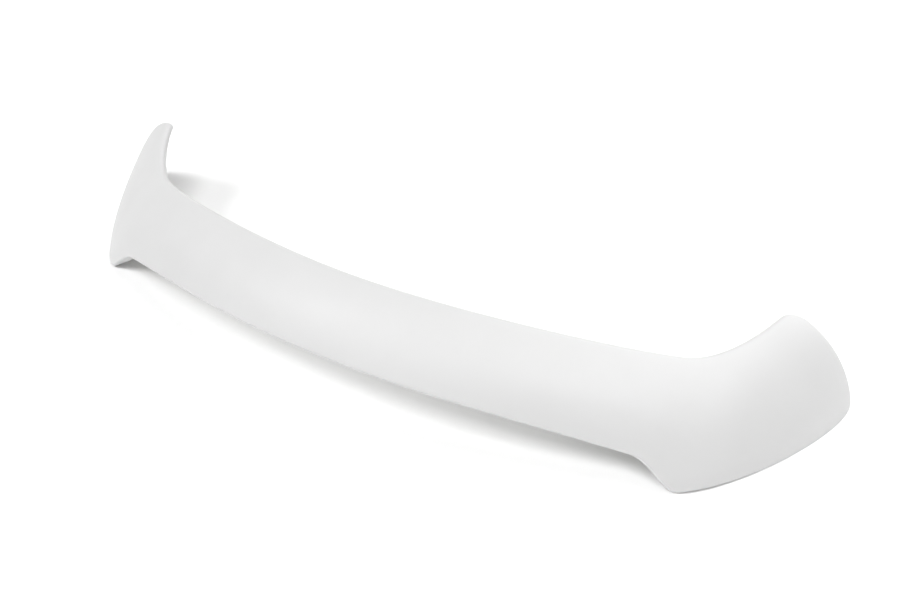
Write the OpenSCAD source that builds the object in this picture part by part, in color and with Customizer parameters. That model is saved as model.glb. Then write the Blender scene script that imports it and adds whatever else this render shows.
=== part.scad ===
// Rear spoiler for a hatchback tailgate: one thin moulded shell with an arched middle strip,
// two flared end cheeks, a rolled edge all round and a flange under the rear and lower edges.
// Millimetres, +Z up, +Y towards the roof.
// It lies as it is set down, on the lower flanges of the two cheeks: flat in z = 0 towards the
// front, and on their inner rims beside the feet, where the lower edge leaves a thin gap.
// Along the shell, u runs from 0 at the middle to 1 at the end. Across it, v runs from
// 0 at the front edge to 1 at the rear edge. Points are first worked out from the line
// between the two feet and then moved so that the origin is under the middle of the outline.

/* [Feet and rear corners] */
// spacing of the two feet, the rear ends of the flat lower edges
foot_spacing = 970; // [948:1:990]
// spacing of the two lower front corners of the cheeks
corner_spacing = 1261; // [1236:1:1286]
// distance of the lower front corners ahead of the feet
corner_reach = 253; // [240:1:266]
// direction of the lower edge at the foot, from straight outwards
foot_heading = 38; // [29:1:47]
// direction of the lower edge at the front corner, from straight outwards
corner_heading = 96; // [88:1:103]
// gap under the lower edge beside the foot, where only the flange's inner rim touches
foot_gap = 4; // [1:0.5:5]

/* [Rear edge of the strip] */
// how far the rear edge bows behind the feet at the middle
rear_bow = 80; // [69:1:91]
// height of the rear edge at the middle
rear_height = 78; // [69:1:87]
// spacing of the two necks, where the strip ends and the foot notches start
neck_spacing = 816; // [798:1:834]
// how far the rear edge lies behind the feet at the neck
neck_setback = 14; // [8:1:20]
// height of the rear edge at the neck
neck_height = 45.5; // [40:0.5:52]
// direction of the rear edge at the neck, seen from above
neck_heading = 15; // [9:0.5:20]
// fall of the rear edge at the neck
neck_fall = 9; // [5:0.5:12]

/* [Front edge of the strip] */
// distance of the front edge ahead of the feet at the middle
front_reach = 18; // [10:1:26]
// height of the front edge at the middle
front_height = 145; // [135:1:155]
// spacing of the two shoulders, where the front edge turns into the horns
shoulder_spacing = 858; // [842:1:878]
// distance of the shoulders ahead of the feet
shoulder_reach = 109; // [102:1:118]
// height of the front edge at the shoulders
shoulder_height = 116; // [108:1:124]
// direction of the front edge at the shoulder, seen from above
shoulder_heading = 27; // [22:0.5:32]
// fall of the front edge at the shoulder
shoulder_fall = 6; // [2:0.5:10]

/* [Horns] */
// spacing of the two horn tips
horn_spacing = 1041; // [1020:1:1062]
// distance of the horn tips ahead of the feet
horn_reach = 220; // [209:1:231]
// height of the horn tips
horn_height = 143; // [133:1:153]
// direction of the front edge at the horn tip, seen from above
horn_heading = 67; // [60:1:74]
// corner radius of the horn tip, seen square on
horn_tip_radius = 16; // [8:1:24]
// corner radius of the lower front corner of the cheek
corner_radius = 12; // [6:1:18]

/* [Crown across the shell] */
// crown of the strip, as the angle between its surface and its chord at both edges
strip_crown = 14; // [8:1:20]
// the same angle at the front edge of the cheek, beside the horn
horn_crown = 43.5; // [36:0.5:50]
// the same angle at the lower edge of the cheek
cheek_crown = 27.5; // [20:0.5:36]

/* [Rolled edge and wall] */
// wall of the moulding
wall = 3; // [2.5:0.5:4]
// inside radius of the rolled front edge
front_bend = 6; // [4:0.5:8]
// inside radius of the rolled end edge of the cheeks
end_bend = 3; // [2:0.5:5]
// inside radius of the rolled rear and lower edges
rear_bend = 0.5; // [0.5:0.5:3]
// how far the front and end edges run on straight after their roll
front_lip = 1; // [0.5:0.5:4]
// depth of the flange under the rear and lower edges
rear_flange = 12; // [6:1:16]

/* [Hidden] */
finish_colour = [0.93, 0.93, 0.92];

// outer radii of the rolled edges
front_roll = wall + front_bend;
end_roll = wall + end_bend;
rear_roll = wall + rear_bend;
// how far the skin stops short of the rear edge's curve, as a share of the roll's radius there
rear_share = 0.45;

// stations along the shell where the edge curves change over
u_neck = 0.62;
u_foot = 0.73;
// the stretch behind the foot over which the gap under the lower edge closes
gap_span = 0.17;
// speeds of the edge curves along u, which keep them smooth through the stations
front_middle_speed = 620;
shoulder_speed = 478;
horn_speed = 163;
horn_fall = 9;
rear_middle_speed = 660;
neck_speed = 925;
foot_speed = 848;
corner_speed = 593;
// how far the crown handles reach along the chord
front_handle = 0.405;
rear_handle = 0.402;
foot_handle = 0.225;
// height over which the rear flange turns level as it comes down to the feet
level_height = 25;
step = 0.001;

// stations in one half of the strip, in one cheek and in its rounded end
strip_stations = 22;
cheek_stations = 18;
tip_stations = 4;
// rows across the skin and steps round the rolled edge
rows = 14;
roll_steps = 5;

function unit(v) = v / norm(v);
function ramp(t) = let (c = min(max(t, 0), 1)) c * c * (3 - 2 * c);
function mirrored(p) = [-p[0], p[1], p[2]];
function velocity(speed, heading, pitch) =
    speed * [cos(heading) * cos(pitch), sin(heading) * cos(pitch), sin(pitch)];
function bezier(a, b, c, d, t) =
    let (s = 1 - t) s * s * s * a + 3 * s * s * t * b + 3 * s * t * t * c + t * t * t * d;

// one leg of an edge curve between two stations, each given as [point, velocity]
function leg(from, to, span, t) =
    bezier(from[0], from[0] + from[1] * span / 3, to[0] - to[1] * span / 3, to[0], t);

front_middle = [[0, front_reach, front_height], [front_middle_speed, 0, 0]];
shoulder = [
    [shoulder_spacing / 2, shoulder_reach, shoulder_height],
    velocity(shoulder_speed, shoulder_heading, -shoulder_fall)
];
horn = [[horn_spacing / 2, horn_reach, horn_height], velocity(horn_speed, horn_heading, -horn_fall)];
rear_middle = [[0, -rear_bow, rear_height], [rear_middle_speed, 0, 0]];
neck = [[neck_spacing / 2, -neck_setback, neck_height], velocity(neck_speed, neck_heading, -neck_fall)];
foot = [[foot_spacing / 2, 0, 0], velocity(foot_speed, foot_heading, 0)];
corner = [[corner_spacing / 2, corner_reach, 0], velocity(corner_speed, corner_heading, 0)];

function front_edge(u) =
    u < u_neck
    ? leg(front_middle, shoulder, u_neck, u / u_neck)
    : leg(shoulder, horn, 1 - u_neck, (u - u_neck) / (1 - u_neck));

function rear_edge(u) =
    u < u_neck
    ? leg(rear_middle, neck, u_neck, u / u_neck)
    : u < u_foot
    ? leg(neck, foot, u_foot - u_neck, (u - u_neck) / (u_foot - u_neck))
    : leg(foot, corner, 1 - u_foot, (u - u_foot) / (1 - u_foot));

// crown angles at the front and rear edges, growing from the strip to the cheek
function front_crown(u) =
    strip_crown + (horn_crown - strip_crown) * pow(min(max((u - 0.35) / 0.65, 0), 1), 2.2);
function rear_crown(u) = strip_crown + (cheek_crown - strip_crown) * ramp((u - 0.35) / 0.45);
// height of the lower edge over the surface it lies on, zero from the middle of the cheek on
function lift(u) = foot_gap * (1 - ramp((u - u_foot) / gap_span));
function rear_reach(u) = rear_handle + (foot_handle - rear_handle) * ramp((u - 0.55) / 0.2);

// the four control points of the section across the shell at u
function section(u) =
    let (
        a = front_edge(u),
        d = rear_edge(u),
        front_along = unit(front_edge(u + step) - front_edge(u - step)),
        rear_along = unit(rear_edge(u + step) - rear_edge(u - step)),
        chord = norm(d - a),
        across = (d - a) / chord,
        up = unit(cross(across, front_along + rear_along)),
        f = front_crown(u),
        r = rear_crown(u)
    )
    [
        a,
        a + front_handle * chord * (cos(f) * across + sin(f) * up),
        d - rear_reach(u) * chord * (cos(r) * across - sin(r) * up),
        d
    ];

function on_section(s, v) = bezier(s[0], s[1], s[2], s[3], v);
function section_chord(s) = norm(s[3] - s[0]);

// how far u runs per millimetre near the end, from the mean of both edges
end_speed = (norm(front_edge(1) - front_edge(0.97)) + norm(rear_edge(1) - rear_edge(0.97))) / 2 / 0.03;
u_end = 1 - end_roll / end_speed;
u_tip = u_end - horn_tip_radius / end_speed;

// the setback of a rounded corner of radius r at distance e from the end
function corner_setback(r, e) = e >= r ? 0 : r - sqrt(r * r - (r - e) * (r - e));

stations = concat(
    [for (i = [0 : strip_stations - 1]) u_neck * i / strip_stations],
    [for (i = [0 : cheek_stations - 1]) u_neck + (u_tip - u_neck) * i / cheek_stations],
    [for (i = [0 : tip_stations]) u_tip + (u_end - u_tip) * sin(90 * i / tip_stations)]
);
last = len(stations) - 1;

// one half of the outer skin inside the rolled edge, as [point, outward normal] for each station and row
half_skin = [
    for (u = stations)
    let (
        s = section(u),
        ahead = section(u + step),
        behind = section(u - step),
        chord = section_chord(s),
        e = (u_end - u) * end_speed,
        v_front = (front_roll + corner_setback(horn_tip_radius, e)) / chord,
        v_rear = 1 - (rear_share * rear_roll + corner_setback(corner_radius, e)) / chord
    )
    [
        for (j = [0 : rows])
        let (
            v = v_front + (v_rear - v_front) * j / rows,
            dv = on_section(s, v + step) - on_section(s, v - step),
            du = on_section(ahead, v) - on_section(behind, v)
        )
        [on_section(s, v), unit(cross(dv, du))]
    ]
];

function skin_at(i, j) =
    let (p = half_skin[abs(i)][j])
    i < 0 ? [mirrored(p[0]), mirrored(p[1])] : p;

// the border of the skin, clockwise from above: front edge, right end, rear edge, left end
border = concat(
    [for (i = [-last : last]) [i, 0]],
    [for (j = [1 : rows]) [last, j]],
    [for (i = [last - 1 : -1 : -last]) [i, rows]],
    [for (j = [rows - 1 : -1 : 1]) [-last, j]]
);
around = len(border);
border_skin = [for (b = border) skin_at(b[0], b[1])];

// the roll's radius and the depth beyond it, which change over a few places at each corner
border_roll = [for (b = border) b[1] == 0 ? front_roll : abs(b[0]) == last ? end_roll : rear_roll];
border_flange = [for (b = border) b[1] == rows ? rear_flange : front_lip];
border_lift = [for (b = border) lift(stations[abs(b[0])])];
corner_weights = [1, 3, 5, 6, 5, 3, 1] / 24;
function evened(sizes, k) = corner_weights * [for (w = [-3 : 3]) sizes[(k + w + around) % around]];

// for each place on the border: the roll's centre, the outward direction, the skin's normal,
// the roll's radius, the angle turned, the depth beyond the roll and the gap left under it
rolls = [
    for (k = [0 : around - 1])
    let (
        p = border_skin[k][0],
        n = border_skin[k][1],
        along = border_skin[(k + 1) % around][0] - border_skin[(k + around - 1) % around][0],
        m = unit(cross(n, along)),
        r = evened(border_roll, k),
        lower_edge = border[k][1] == rows && m[2] < 0,
        low = lower_edge ? min(max(1 - (p[2] - rear_roll) / level_height, 0), 1) : 0,
        turn = 90 + low * (90 - atan2(-m[2], max(n[2], 0.001)))
    )
    [p - r * n, m, n, r, turn, evened(border_flange, k), border_lift[k]]
];

function on_roll(g, inset, t) =
    let (a = g[4] * t) g[0] + (g[3] - inset) * (g[2] * cos(a) + g[1] * sin(a));
function flange_end(g, inset) = on_roll(g, inset, 1) + g[5] * (g[1] * cos(g[4]) - g[2] * sin(g[4]));
// nothing goes below the surface it lies on or the gap over it, so the lower edges are cut flat
function above(p, floor_height) = [p[0], p[1], max(p[2], floor_height)];

// rings from the outer skin's border round the roll to the edge's end, and back inside the wall
outer_rings = concat(
    [for (i = [1 : roll_steps]) [for (g = rolls) above(on_roll(g, 0, i / roll_steps), g[6])]],
    [[for (g = rolls) above(flange_end(g, 0), 0)]]
);
inner_rings = concat(
    [[for (g = rolls) above(flange_end(g, wall), wall)]],
    [
        for (i = [roll_steps : -1 : 1])
        [for (g = rolls) above(on_roll(g, wall, i / roll_steps), g[6] + wall)]
    ]
);
rings = concat(outer_rings, inner_rings);

columns = 2 * last + 1;
function lift_at(i) = lift(stations[abs(i)]);
outer_grid = [for (i = [-last : last]) for (j = [0 : rows]) above(skin_at(i, j)[0], lift_at(i))];
inner_grid = [
    for (i = [-last : last]) for (j = [0 : rows])
    let (s = skin_at(i, j)) above(s[0] - wall * s[1], lift_at(i) + wall)
];
raw_points = concat(outer_grid, [for (ring = rings) for (p = ring) p], inner_grid);

// the origin goes under the middle of the outline
depths = [for (p = raw_points) p[1]];
middle = (max(depths) + min(depths)) / 2;
points = [for (p = raw_points) p - [0, middle, 0]];

grid_size = columns * (rows + 1);
ring_base = grid_size;
inner_base = grid_size + len(rings) * around;
function grid_index(base, b) = base + (b[0] + last) * (rows + 1) + b[1];
// ring 0 is the outer skin's own border and the one after the last ring is the inner skin's
function ring_index(r, k) =
    r == 0 ? grid_index(0, border[k])
    : r > len(rings) ? grid_index(inner_base, border[k])
    : ring_base + (r - 1) * around + k;

// the diagonal is mirrored on the left, so that both halves are alike
function quad(a, b, c, d, left) = left ? [[b, c, d], [b, d, a]] : [[a, b, c], [a, c, d]];

outer_faces = [
    for (i = [-last : last - 1]) for (j = [0 : rows - 1])
    each quad(
        grid_index(0, [i, j]),
        grid_index(0, [i + 1, j]),
        grid_index(0, [i + 1, j + 1]),
        grid_index(0, [i, j + 1]),
        i < 0
    )
];
inner_faces = [
    for (i = [-last : last - 1]) for (j = [0 : rows - 1])
    each quad(
        grid_index(inner_base, [i, j]),
        grid_index(inner_base, [i, j + 1]),
        grid_index(inner_base, [i + 1, j + 1]),
        grid_index(inner_base, [i + 1, j]),
        i < 0
    )
];
edge_faces = [
    for (r = [0 : len(rings)]) for (k = [0 : around - 1])
    let (next = (k + 1) % around)
    each quad(
        ring_index(r, k),
        ring_index(r + 1, k),
        ring_index(r + 1, next),
        ring_index(r, next),
        border[k][0] + border[next][0] < 0
    )
];

module spoiler() {
    color(finish_colour)
    polyhedron(points = points, faces = concat(outer_faces, edge_faces, inner_faces), convexity = 6);
}

spoiler();
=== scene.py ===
import math

import bpy
import numpy as np
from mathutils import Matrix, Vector


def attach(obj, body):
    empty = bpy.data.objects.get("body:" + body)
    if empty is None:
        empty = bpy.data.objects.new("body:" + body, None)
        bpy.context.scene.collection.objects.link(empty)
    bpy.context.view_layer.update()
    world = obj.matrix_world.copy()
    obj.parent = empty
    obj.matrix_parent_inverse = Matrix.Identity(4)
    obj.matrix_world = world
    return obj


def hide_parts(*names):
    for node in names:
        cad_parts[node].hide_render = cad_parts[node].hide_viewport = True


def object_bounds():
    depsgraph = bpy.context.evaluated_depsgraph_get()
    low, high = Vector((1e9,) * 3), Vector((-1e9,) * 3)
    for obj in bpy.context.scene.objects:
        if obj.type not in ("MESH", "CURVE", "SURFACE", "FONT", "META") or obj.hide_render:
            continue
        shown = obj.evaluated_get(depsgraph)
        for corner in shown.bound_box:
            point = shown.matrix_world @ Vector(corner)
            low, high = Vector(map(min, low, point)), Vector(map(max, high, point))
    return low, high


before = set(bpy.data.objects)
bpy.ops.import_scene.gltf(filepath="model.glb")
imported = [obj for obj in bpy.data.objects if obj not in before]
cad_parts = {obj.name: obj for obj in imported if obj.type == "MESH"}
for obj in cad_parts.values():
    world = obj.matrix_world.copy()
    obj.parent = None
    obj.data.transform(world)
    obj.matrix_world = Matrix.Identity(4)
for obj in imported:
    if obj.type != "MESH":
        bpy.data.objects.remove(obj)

cad_low, cad_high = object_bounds()

MM = 0.001

# ---- driving sizes of the moulding, in millimetres and degrees --------------------------

FOOT_SPACING, FOOT_HEADING = 970, 38
CORNER_SPACING, CORNER_REACH, CORNER_HEADING = 1261, 253, 96
# gap under the lower edge beside the foot, the stretch of u over which it closes towards the
# corner, the stretch over which it runs out into the notch, and the slope of the skin there
FOOT_GAP, GAP_SPAN, GAP_RUN_OUT, GAP_SLOPE = 4, 0.17, 0.03, 0.9
REAR_BOW, REAR_HEIGHT = 80, 78
NECK_SPACING, NECK_SETBACK, NECK_HEIGHT = 816, 14, 45.5
NECK_HEADING, NECK_FALL = 15, 9
FRONT_REACH, FRONT_HEIGHT = 18, 145
SHOULDER_SPACING, SHOULDER_REACH, SHOULDER_HEIGHT = 858, 109, 116
SHOULDER_HEADING, SHOULDER_FALL = 27, 6
HORN_SPACING, HORN_REACH, HORN_HEIGHT = 1041, 220, 143
HORN_HEADING, HORN_FALL = 67, 9
HORN_TIP_RADIUS, CORNER_RADIUS = 16, 12
STRIP_CROWN, HORN_CROWN, CHEEK_CROWN = 14, 43.5, 27.5
WALL = 3
# outer radii of the rolled edges, and how far the edges run on straight after the roll
FRONT_ROLL, END_ROLL, REAR_ROLL = WALL + 6, WALL + 3, WALL + 0.5
FRONT_LIP, REAR_FLANGE = 1, 12
# how far the skin stops short of the rear edge's curve, as a share of the roll's radius there
REAR_SHARE = 0.45

# stations along the shell, from 0 at the middle to 1 at the end, and the edges' speeds there
U_NECK, U_FOOT = 0.62, 0.73
FRONT_MIDDLE_SPEED, SHOULDER_SPEED, HORN_SPEED = 620, 478, 163
REAR_MIDDLE_SPEED, NECK_SPEED, FOOT_SPEED, CORNER_SPEED = 660, 925, 848, 593
# reach of the crown's handles, as a share of the chord
FRONT_HANDLE, REAR_HANDLE, FOOT_HANDLE = 0.405, 0.402, 0.225
# where the crown of the horn and of the cheek start to grow, over which stretch, and how fast
CROWN_FROM, CHEEK_CROWN_SPAN, HORN_CROWN_POWER = 0.35, 0.45, 2.2
# where the rear handle starts to shorten towards the foot, and over which stretch
HANDLE_FROM, HANDLE_SPAN = 0.55, 0.2
# height over which the rear flange turns level as it comes down to the foot
LEVEL_HEIGHT = 25
# step of u and v for a direction, and the last stretch of u, which gives the pace at the end
STEP, LAST_STRETCH = 0.001, 0.03

# the finer steps of the drawn shell, in one half: strip, cheek, rounded end, then across and round
STRIP_STEPS, CHEEK_STEPS, TIP_STEPS = 120, 84, 16
ROWS = 56
ROLL_STEPS = 14
# how far the roll and the flange take to change at a corner
CORNER_BLEND = 32
# the broken edge of the flange, and the part of it that its middle line keeps
FLANGE_BREAK, BREAK_SHARE = 0.5, 0.3
# the least angle between faces that is drawn as a sharp edge, in degrees
SHARP_EDGE = 32


def unit(v):
    return v / np.linalg.norm(v, axis=-1, keepdims=True)


def ramp(t):
    t = np.clip(t, 0, 1)
    return t * t * (3 - 2 * t)


def velocity(speed, heading, pitch):
    heading, pitch = math.radians(heading), math.radians(pitch)
    level = math.cos(pitch)
    return speed * np.array([math.cos(heading) * level, math.sin(heading) * level, math.sin(pitch)])


def bezier(a, b, c, d, t):
    t = np.asarray(t, float)[..., None]
    s = 1 - t
    return s**3 * a + 3 * s**2 * t * b + 3 * s * t**2 * c + t**3 * d


def edge_through(stops, u):
    """An edge of the shell at the stations u. Each stop is (station, point, velocity)."""
    inner = [stop[0] for stop in stops[1:-1]]
    leg = np.searchsorted(inner, u, side="right")
    points = np.empty((len(u), 3))
    for k, ((u0, p, v), (u1, q, w)) in enumerate(zip(stops, stops[1:])):
        here = leg == k
        third = (u1 - u0) / 3
        points[here] = bezier(p, p + v * third, q - w * third, q, (u[here] - u0) / (u1 - u0))
    return points


def front_edge(u):
    return edge_through(
        [
            (0, np.array([0, FRONT_REACH, FRONT_HEIGHT]), velocity(FRONT_MIDDLE_SPEED, 0, 0)),
            (
                U_NECK,
                np.array([SHOULDER_SPACING / 2, SHOULDER_REACH, SHOULDER_HEIGHT]),
                velocity(SHOULDER_SPEED, SHOULDER_HEADING, -SHOULDER_FALL),
            ),
            (
                1,
                np.array([HORN_SPACING / 2, HORN_REACH, HORN_HEIGHT]),
                velocity(HORN_SPEED, HORN_HEADING, -HORN_FALL),
            ),
        ],
        u,
    )


def lift(u):
    """How far the lower edge is lifted beside the foot, zero from the middle of the cheek on."""
    to_corner = ramp((u - U_FOOT) / GAP_SPAN)
    into_notch = ramp((U_FOOT - u) / GAP_RUN_OUT)
    return FOOT_GAP * (1 - to_corner) * (1 - into_notch)


def rear_edge(u):
    return edge_through(
        [
            (0, np.array([0, -REAR_BOW, REAR_HEIGHT]), velocity(REAR_MIDDLE_SPEED, 0, 0)),
            (
                U_NECK,
                np.array([NECK_SPACING / 2, -NECK_SETBACK, NECK_HEIGHT]),
                velocity(NECK_SPEED, NECK_HEADING, -NECK_FALL),
            ),
            (U_FOOT, np.array([FOOT_SPACING / 2, 0, 0]), velocity(FOOT_SPEED, FOOT_HEADING, 0)),
            (
                1,
                np.array([CORNER_SPACING / 2, CORNER_REACH, 0]),
                velocity(CORNER_SPEED, CORNER_HEADING, 0),
            ),
        ],
        u,
    )


def section(u):
    """The four control points of the curve across the shell, at each station of u."""
    front, rear = front_edge(u), rear_edge(u)
    along_front = unit(front_edge(u + STEP) - front_edge(u - STEP))
    along_rear = unit(rear_edge(u + STEP) - rear_edge(u - STEP))
    chord = np.linalg.norm(rear - front, axis=1)[:, None]
    across = (rear - front) / chord
    up = unit(np.cross(across, along_front + along_rear))
    horn = np.clip((u - CROWN_FROM) / (1 - CROWN_FROM), 0, 1) ** HORN_CROWN_POWER
    cheek = ramp((u - CROWN_FROM) / CHEEK_CROWN_SPAN)
    foot = ramp((u - HANDLE_FROM) / HANDLE_SPAN)
    f = np.radians(STRIP_CROWN + (HORN_CROWN - STRIP_CROWN) * horn)[:, None]
    r = np.radians(STRIP_CROWN + (CHEEK_CROWN - STRIP_CROWN) * cheek)[:, None]
    rear_reach = (REAR_HANDLE + (FOOT_HANDLE - REAR_HANDLE) * foot)[:, None]
    return (
        front,
        front + FRONT_HANDLE * chord * (np.cos(f) * across + np.sin(f) * up),
        rear - rear_reach * chord * (np.cos(r) * across - np.sin(r) * up),
        rear,
    )


def across_at(u, v):
    """Points of the outer skin: a row for each station of u, a column for each column of v."""
    a, b, c, d = (p[:, None, :] for p in section(u))
    return bezier(a, b, c, d, v)


def corner_setback(radius, to_end):
    """How far a rounded corner stands back from the edge, at that distance from the end."""
    inside = np.clip(radius - to_end, 0, radius)
    return radius - np.sqrt(radius**2 - inside**2)


def outer_skin():
    """Points, outward normals and lift of the whole outer skin inside the rolled edge."""
    last = np.array([1 - LAST_STRETCH, 1.0])
    lengths = [np.linalg.norm(np.diff(edge(last), axis=0)) for edge in (front_edge, rear_edge)]
    end_speed = sum(lengths) / 2 / LAST_STRETCH
    u_end = 1 - END_ROLL / end_speed
    u_tip = u_end - HORN_TIP_RADIUS / end_speed
    u = np.concatenate(
        [
            np.linspace(0, U_NECK, STRIP_STEPS, endpoint=False),
            np.linspace(U_NECK, u_tip, CHEEK_STEPS, endpoint=False),
            u_tip + (u_end - u_tip) * np.sin(np.linspace(0, math.pi / 2, TIP_STEPS + 1)),
        ]
    )
    front, _, _, rear = section(u)
    chord = np.linalg.norm(rear - front, axis=1)
    to_end = (u_end - u) * end_speed
    v_front = (FRONT_ROLL + corner_setback(HORN_TIP_RADIUS, to_end)) / chord
    # the skin stops further from the rear edge where that edge is lifted off the table
    v_rear = 1 - (
        REAR_SHARE * REAR_ROLL + corner_setback(CORNER_RADIUS, to_end) + lift(u) / GAP_SLOPE
    ) / chord
    v = v_front[:, None] + (v_rear - v_front)[:, None] * np.linspace(0, 1, ROWS + 1)
    skin = across_at(u, v)
    dv = across_at(u, v + STEP) - across_at(u, v - STEP)
    du = across_at(u + STEP, v) - across_at(u - STEP, v)
    normal = unit(np.cross(dv, du))
    left = np.array([-1, 1, 1])
    return (
        np.concatenate([(skin * left)[:0:-1], skin]),
        np.concatenate([(normal * left)[:0:-1], normal]),
        np.concatenate([lift(u)[:0:-1], lift(u)]),
    )


def border_of(columns):
    """Column and row of each place on the skin's border, clockwise from above.

    Each place comes with its radius of roll and its length of flange.
    """
    i, j = columns - 1, ROWS
    runs = [
        ([(c, 0) for c in range(columns)], FRONT_ROLL, FRONT_LIP),
        ([(i, r) for r in range(1, j)], END_ROLL, FRONT_LIP),
        ([(c, j) for c in range(i, -1, -1)], REAR_ROLL, REAR_FLANGE),
        ([(0, r) for r in range(j - 1, 0, -1)], END_ROLL, FRONT_LIP),
    ]
    places = np.array([place for run in runs for place in run[0]])
    sizes = np.concatenate([np.tile(run[1:], (len(run[0]), 1)) for run in runs])
    return places, sizes


def evened(sizes, points):
    """The sizes of the roll and flange, evened out so that they change smoothly at a corner."""
    pace = np.linalg.norm(np.roll(points, -1, axis=0) - points, axis=1)
    place = np.concatenate([[0], np.cumsum(pace)[:-1]])
    gap = np.abs(place[:, None] - place[None, :])
    gap = np.minimum(gap, pace.sum() - gap)
    weight = np.clip(1 - (gap / CORNER_BLEND) ** 2, 0, 1) ** 2 * pace
    return weight @ sizes / weight.sum(axis=1)[:, None]


def above(points, height):
    """Nothing goes below the table or the gap over it, so the lower edges are flat."""
    low = np.full(points.shape, -math.inf)
    low[..., 2] = height
    return np.maximum(points, low)


def rolled_rings(skin, normal, lifts):
    """Closed rings from the outer skin's border, round roll and flange, to the inner skin's."""
    places, sizes = border_of(len(skin))
    p = skin[places[:, 0], places[:, 1]]
    n = normal[places[:, 0], places[:, 1]]
    r, flange = np.hsplit(evened(sizes, p), 2)
    gap = lifts[places[:, 0]]
    m = unit(np.cross(n, np.roll(p, -1, axis=0) - np.roll(p, 1, axis=0)))
    on_rear = (places[:, 1] == ROWS) & (m[:, 2] < 0)
    low = np.where(on_rear, np.clip(1 - (p[:, 2] - REAR_ROLL) / LEVEL_HEIGHT, 0, 1), 0)
    to_level = math.pi / 2 - np.arctan2(-m[:, 2], np.maximum(n[:, 2], 0.001))
    turn = (math.pi / 2 + low * to_level)[:, None]
    centre = p - r * n
    out = m * np.cos(turn) - n * np.sin(turn)

    def on_roll(inset, t):
        return centre + (r - inset) * (n * np.cos(turn * t) + m * np.sin(turn * t))

    # only the inner rim of the flange comes down to the table where the edge is lifted
    drop = gap[:, None] * np.array([0, 0, 1])
    rim_outer = above(on_roll(0, 1) + flange * out - drop, 0)
    rim_inner = above(on_roll(WALL, 1) + flange * out - drop, WALL)
    inward = unit(rim_inner - rim_outer)
    turns = np.linspace(0, 1, ROLL_STEPS + 1)[1:]
    outer = [above(on_roll(0, t), gap) for t in turns]
    # the trimmed edge of the flange, broken by a rub of abrasive paper
    rim = [
        above(rim_outer - FLANGE_BREAK * out, 0),
        rim_outer + BREAK_SHARE * FLANGE_BREAK * (inward - out),
        rim_outer + FLANGE_BREAK * inward,
        rim_inner - FLANGE_BREAK * inward,
        rim_inner - BREAK_SHARE * FLANGE_BREAK * (inward + out),
        above(rim_inner - FLANGE_BREAK * out, WALL),
    ]
    inner = [above(on_roll(WALL, t), gap + WALL) for t in turns[::-1]]
    return places, outer + rim, inner


def shell_mesh():
    """The whole moulding as one closed mesh: points, faces and how many faces lie outside."""
    skin, normal, lifts = outer_skin()
    places, outer_rings, inner_rings = rolled_rings(skin, normal, lifts)
    rings = outer_rings + inner_rings
    columns, around = len(skin), len(places)
    lifts = lifts[:, None]
    inner_skin = above(skin - WALL * normal, lifts + WALL)
    outer_skin_points = above(skin, lifts).reshape(-1, 3)
    points = np.concatenate([outer_skin_points, *rings, inner_skin.reshape(-1, 3)])

    grid = np.arange(columns * (ROWS + 1)).reshape(columns, ROWS + 1)
    inner_grid = grid + grid.size + len(rings) * around
    loops = [grid[places[:, 0], places[:, 1]]]
    loops += [grid.size + r * around + np.arange(around) for r in range(len(rings))]
    loops += [inner_grid[places[:, 0], places[:, 1]]]

    def quads(a, b, c, d):
        return np.stack([a, d, c, b], axis=-1).reshape(-1, 4)

    outside = [quads(grid[:-1, :-1], grid[1:, :-1], grid[1:, 1:], grid[:-1, 1:])]
    inside = [
        quads(inner_grid[:-1, :-1], inner_grid[:-1, 1:], inner_grid[1:, 1:], inner_grid[1:, :-1])
    ]
    for k, (here, there) in enumerate(zip(loops, loops[1:])):
        strip = quads(here, there, np.roll(there, -1), np.roll(here, -1))
        (outside if k < len(outer_rings) else inside).append(strip)
    outside, inside = np.concatenate(outside), np.concatenate(inside)
    return points, np.concatenate([outside, inside]), len(outside)


def moulded_shell():
    points, faces, outside = shell_mesh()
    # the drawn shell takes the CAD shell's own box, so its finer curves stand nowhere proud of it
    low, high = points.min(axis=0), points.max(axis=0)
    cad = np.array([cad_low, cad_high])
    points = cad[0] + (points - low) / (high - low) * (cad[1] - cad[0])
    mesh = bpy.data.meshes.new("moulded_shell")
    mesh.from_pydata(points.tolist(), [], faces.tolist())
    # the laminate starts where the outside ends, at the inner corner of the trimmed edge
    sides = np.repeat([0, 1], [outside, len(faces) - outside])
    mesh.polygons.foreach_set("material_index", sides)
    mesh.polygons.foreach_set("use_smooth", np.ones(len(faces), bool))
    mesh.update()
    mesh.set_sharp_from_angle(angle=math.radians(SHARP_EDGE))
    shell = bpy.data.objects.new("moulded_shell", mesh)
    bpy.context.scene.collection.objects.link(shell)
    return shell


# ---- materials --------------------------------------------------------------------------


def colour(code):
    """An sRGB hex colour as linear RGBA."""
    parts = [int(code[k : k + 2], 16) / 255 for k in (1, 3, 5)]
    return (*(c / 12.92 if c <= 0.04045 else ((c + 0.055) / 1.055) ** 2.4 for c in parts), 1.0)


def add(tree, kind, inputs=None, **settings):
    """Adds a node with its settings. An input is a plain value or another node's output."""
    node = tree.nodes.new(kind)
    for name, value in settings.items():
        setattr(node, name, value)
    for name, value in (inputs or {}).items():
        if isinstance(value, bpy.types.NodeSocket):
            tree.links.new(value, node.inputs[name])
        else:
            node.inputs[name].default_value = value
    return node


def new_material(name):
    material = bpy.data.materials.new(name)
    material.use_nodes = True
    tree = material.node_tree
    tree.nodes.clear()
    place = add(tree, "ShaderNodeTexCoord").outputs["Object"]
    return material, tree, place


def finish_with(tree, shader):
    add(tree, "ShaderNodeOutputMaterial", {"Surface": shader.outputs["BSDF"]})


def per_mm(size):
    """The scale of a pattern whose features are that many millimetres apart."""
    return 1 / (size * MM)


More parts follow.
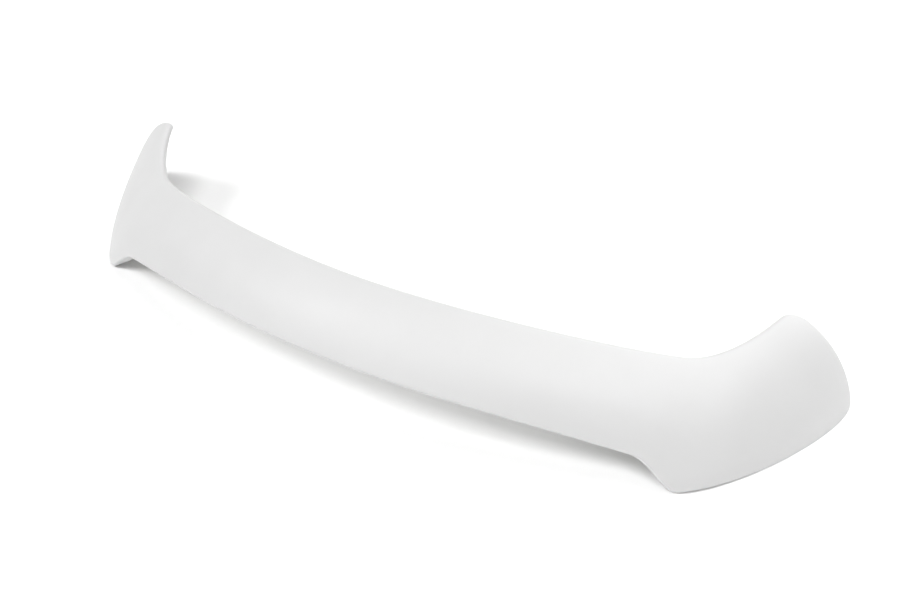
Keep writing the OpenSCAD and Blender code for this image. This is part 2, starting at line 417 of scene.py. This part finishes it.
def white_gelcoat():
    """Polyester gelcoat, brushed into a polished mould and rubbed down for paint.

    It gives an even satin white, with a faint cloudiness where the coat is thicker and a
    slow waviness in the highlights where the glass mat behind it prints through.
    """
    material, tree, place = new_material("white_gelcoat")
    cloud = add(
        tree,
        "ShaderNodeTexNoise",
        {"Vector": place, "Scale": per_mm(55), "Detail": 3.0, "Roughness": 0.55},
    )
    tint = add(
        tree,
        "ShaderNodeMix",
        {"Factor": cloud.outputs["Fac"], "A": colour("#D2D2D2"), "B": colour("#D6D6D6")},
        data_type="RGBA",
    )
    sheen = add(
        tree,
        "ShaderNodeMapRange",
        {
            "Value": cloud.outputs["Fac"],
            "From Min": 0.3,
            "From Max": 0.7,
            "To Min": 0.44,
            "To Max": 0.52,
        },
    )
    # the mat's print-through and the rubbed surface's grain; the grain is drawn at 1.2 mm, far
    # coarser than the 0.03 mm of the abrasive, so that it shows at all
    print_through = add(
        tree, "ShaderNodeTexNoise", {"Vector": place, "Scale": per_mm(24), "Detail": 2.0}
    )
    waves = add(
        tree,
        "ShaderNodeBump",
        {"Height": print_through.outputs["Fac"], "Strength": 0.25, "Distance": 0.4 * MM},
    )
    grain = add(tree, "ShaderNodeTexNoise", {"Vector": place, "Scale": per_mm(1.2), "Detail": 2.0})
    rubbed = add(
        tree,
        "ShaderNodeBump",
        {
            "Height": grain.outputs["Fac"],
            "Strength": 0.2,
            "Distance": 0.03 * MM,
            "Normal": waves.outputs["Normal"],
        },
    )
    shader = add(
        tree,
        "ShaderNodeBsdfPrincipled",
        {
            "Base Color": tint.outputs["Result"],
            "Roughness": sheen.outputs["Result"],
            "IOR": 1.54,
            "Normal": rubbed.outputs["Normal"],
        },
    )
    finish_with(tree, shader)
    return material


def bare_laminate():
    """Chopped-strand glass mat, laid up by hand in polyester resin over the gelcoat.

    The back of the shell is grey and uneven, with paler flat strands that lie in all
    directions, proud of the resin that wets them.
    """
    material, tree, place = new_material("bare_laminate")
    # bundles of strands are about 50 mm long and 2 mm wide, and three directions look like all
    heights = []
    for turn in (10, 72, 131):
        laid = add(
            tree,
            "ShaderNodeMapping",
            {
                "Vector": place,
                "Rotation": (0.3, 0.2, math.radians(turn)),
                "Scale": (per_mm(50), per_mm(2.4), per_mm(2.4)),
            },
        )
        strands = add(
            tree,
            "ShaderNodeTexNoise",
            {"Vector": laid.outputs["Vector"], "Scale": 1.0, "Detail": 1.0},
        )
        heights.append(strands.outputs["Fac"])
    upper = add(tree, "ShaderNodeMath", {0: heights[0], 1: heights[1]}, operation="MAXIMUM")
    upper = upper.outputs["Value"]
    top = add(tree, "ShaderNodeMath", {0: upper, 1: heights[2]}, operation="MAXIMUM")
    tint = add(tree, "ShaderNodeValToRGB", {"Fac": top.outputs["Value"]})
    resin, strand = tint.color_ramp.elements
    resin.position, resin.color = 0.48, colour("#7E7E7A")
    strand.position, strand.color = 0.72, colour("#9A9A95")
    laid_up = add(
        tree,
        "ShaderNodeBump",
        {"Height": top.outputs["Value"], "Strength": 0.8, "Distance": 1.2 * MM},
    )
    shader = add(
        tree,
        "ShaderNodeBsdfPrincipled",
        {
            "Base Color": tint.outputs["Color"],
            "Roughness": 0.55,
            "IOR": 1.55,
            "Normal": laid_up.outputs["Normal"],
        },
    )
    finish_with(tree, shader)
    return material


def white_table():
    """Matt white laminate board, which the light bleaches to paper white away from the shell."""
    material, tree, place = new_material("white_table")
    speckle = add(tree, "ShaderNodeTexNoise", {"Vector": place, "Scale": per_mm(9), "Detail": 2.0})
    tint = add(
        tree,
        "ShaderNodeMix",
        {"Factor": speckle.outputs["Fac"], "A": colour("#FCFCFC"), "B": colour("#FFFFFF")},
        data_type="RGBA",
    )
    shader = add(
        tree,
        "ShaderNodeBsdfPrincipled",
        {"Base Color": tint.outputs["Result"], "Roughness": 0.9, "Specular IOR Level": 0.2},
    )
    finish_with(tree, shader)
    return material


# ---- studio -----------------------------------------------------------------------------

# the view, found from the two ends being each other's mirror image: where the camera stands, in
# metres, how far it is turned from +Y and how steeply it looks down, in degrees, and its lens
CAMERA_PLACE = (0.5623, -0.7845, 0.8246)
CAMERA_AZIMUTH = 29.207
CAMERA_ELEVATION = 39.336
CAMERA_LENS, CAMERA_SENSOR = 33.26, 36.0
# the table's side, and how far its top lies under the shell, in metres
TABLE_SIZE = 16.0
TABLE_GAP = 0.0004
# the white sweep of the studio: its light, the light overhead, and the heights between which
# it fades, as sines of the elevation
SWEEP_LIGHT, ROOM_LIGHT = 0.8, 0.05
SWEEP_TOP, DARK_FROM = 0.05, 0.28


def table_top():
    half = TABLE_SIZE / 2
    corners = [(-half, -half), (half, -half), (half, half), (-half, half)]
    mesh = bpy.data.meshes.new("table_top")
    mesh.from_pydata([(x, y, -TABLE_GAP) for x, y in corners], [], [(0, 1, 2, 3)])
    table = bpy.data.objects.new("table_top", mesh)
    bpy.context.scene.collection.objects.link(table)
    table.data.materials.append(white_table())


def far_softbox(name, azimuth, elevation, width, strength):
    """A large softbox, so far off that it lights the whole table alike.

    Its place in the sky and its width are angles in degrees, the azimuth counted from +X.
    """
    light = bpy.data.lights.new(name, "SUN")
    light.energy = strength
    light.angle = math.radians(width)
    azimuth, elevation = math.radians(azimuth), math.radians(elevation)
    level = math.cos(elevation)
    lamp = bpy.data.objects.new(name, light)
    bpy.context.scene.collection.objects.link(lamp)
    away = Vector((level * math.cos(azimuth), level * math.sin(azimuth), math.sin(elevation)))
    lamp.rotation_euler = away.to_track_quat("Z", "Y").to_euler()


def softbox(name, place, aim, size, watts):
    """A square softbox near the shell, aimed at a point of it."""
    light = bpy.data.lights.new(name, "AREA")
    light.shape = "SQUARE"
    light.size = size
    light.energy = watts
    lamp = bpy.data.objects.new(name, light)
    bpy.context.scene.collection.objects.link(lamp)
    lamp.location = place
    lamp.rotation_euler = (Vector(place) - Vector(aim)).to_track_quat("Z", "Y").to_euler()


def camera():
    lens = bpy.data.cameras.new("camera")
    lens.lens, lens.sensor_width = CAMERA_LENS, CAMERA_SENSOR
    lens.clip_start, lens.clip_end = 0.01, 50
    eye = bpy.data.objects.new("camera", lens)
    bpy.context.scene.collection.objects.link(eye)
    azimuth, elevation = math.radians(CAMERA_AZIMUTH), math.radians(CAMERA_ELEVATION)
    eye.location = CAMERA_PLACE
    eye.rotation_euler = (math.pi / 2 - elevation, 0, azimuth)
    bpy.context.scene.camera = eye


def white_room():
    """A white sweep all round the table, which fades upwards to a dim ceiling."""
    room = bpy.data.worlds.new("white_room")
    room.use_nodes = True
    tree = room.node_tree
    tree.nodes.clear()
    direction = add(tree, "ShaderNodeTexCoord").outputs["Generated"]
    height = add(tree, "ShaderNodeSeparateXYZ", {"Vector": direction}).outputs["Z"]
    glow = add(
        tree,
        "ShaderNodeMapRange",
        {
            "Value": height,
            "From Min": SWEEP_TOP,
            "From Max": DARK_FROM,
            "To Min": SWEEP_LIGHT,
            "To Max": ROOM_LIGHT,
        },
        interpolation_type="SMOOTHSTEP",
    )
    walls = add(
        tree,
        "ShaderNodeBackground",
        {"Color": colour("#FFFFFF"), "Strength": glow.outputs["Result"]},
    )
    add(tree, "ShaderNodeOutputWorld", {"Surface": walls.outputs["Background"]})
    bpy.context.scene.world = room


def studio():
    bpy.context.scene.view_settings.view_transform = "Standard"
    white_room()
    table_top()
    far_softbox("key_softbox", azimuth=225, elevation=48, width=28, strength=1.59)
    far_softbox("back_softbox", azimuth=90, elevation=48, width=32, strength=1.06)
    far_softbox("overhead_back_softbox", azimuth=60, elevation=66, width=36, strength=0.66)
    far_softbox("overhead_front_softbox", azimuth=300, elevation=66, width=28, strength=1.16)
    softbox("near_end_softbox", place=(1.1, 0.5, 0.8), aim=(0.5, 0.05, 0.1), size=0.5, watts=2.4)
    camera()


shell = moulded_shell()
shell.data.materials.append(white_gelcoat())
shell.data.materials.append(bare_laminate())
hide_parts("spoiler")
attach(shell, "root")
studio()
